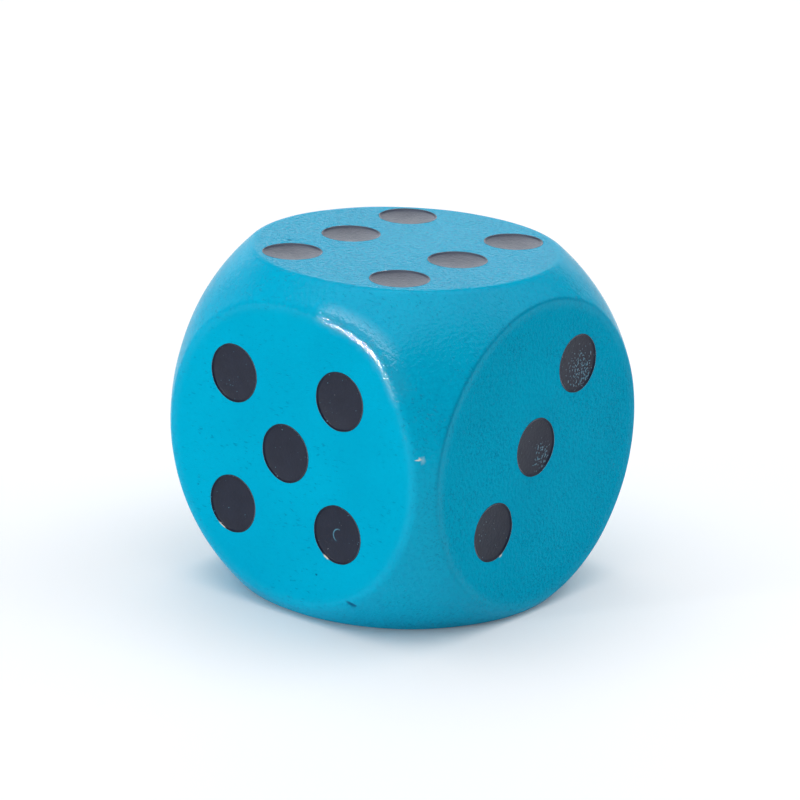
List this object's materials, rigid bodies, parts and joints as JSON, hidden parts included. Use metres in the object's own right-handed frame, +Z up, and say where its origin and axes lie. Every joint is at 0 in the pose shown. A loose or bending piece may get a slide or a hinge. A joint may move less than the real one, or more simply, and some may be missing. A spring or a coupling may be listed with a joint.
{
  "type": "wooden die",
  "caption": "Cubic wooden gaming die with its corners turned to a sphere, blue lacquer, and recessed round black pips from one to six on its faces.",
  "frame": {"origin": "middle of the one face, which the die stands on", "axes": "+Z up to the six, -Y to the five, +X to the three"},
  "size_m": [0.03, 0.03, 0.03],
  "materials": {
    "wood": "sanded",
    "blue_lacquer": "satin",
    "black_paint": "semi-matte"
  },
  "bodies": {
    "root": {"wood_block": "wood", "blue_coat": "blue_lacquer", "one_pip_1": "black_paint", "two_pip_1": "black_paint", "two_pip_2": "black_paint", "three_pip_1": "black_paint", "three_pip_2": "black_paint", "three_pip_3": "black_paint", "four_pip_1": "black_paint", "four_pip_2": "black_paint", "four_pip_3": "black_paint", "four_pip_4": "black_paint", "five_pip_1": "black_paint", "five_pip_2": "black_paint", "five_pip_3": "black_paint", "five_pip_4": "black_paint", "five_pip_5": "black_paint", "six_pip_1": "black_paint", "six_pip_2": "black_paint", "six_pip_3": "black_paint", "six_pip_4": "black_paint", "six_pip_5": "black_paint", "six_pip_6": "black_paint"}
  },
  "joints": []
}
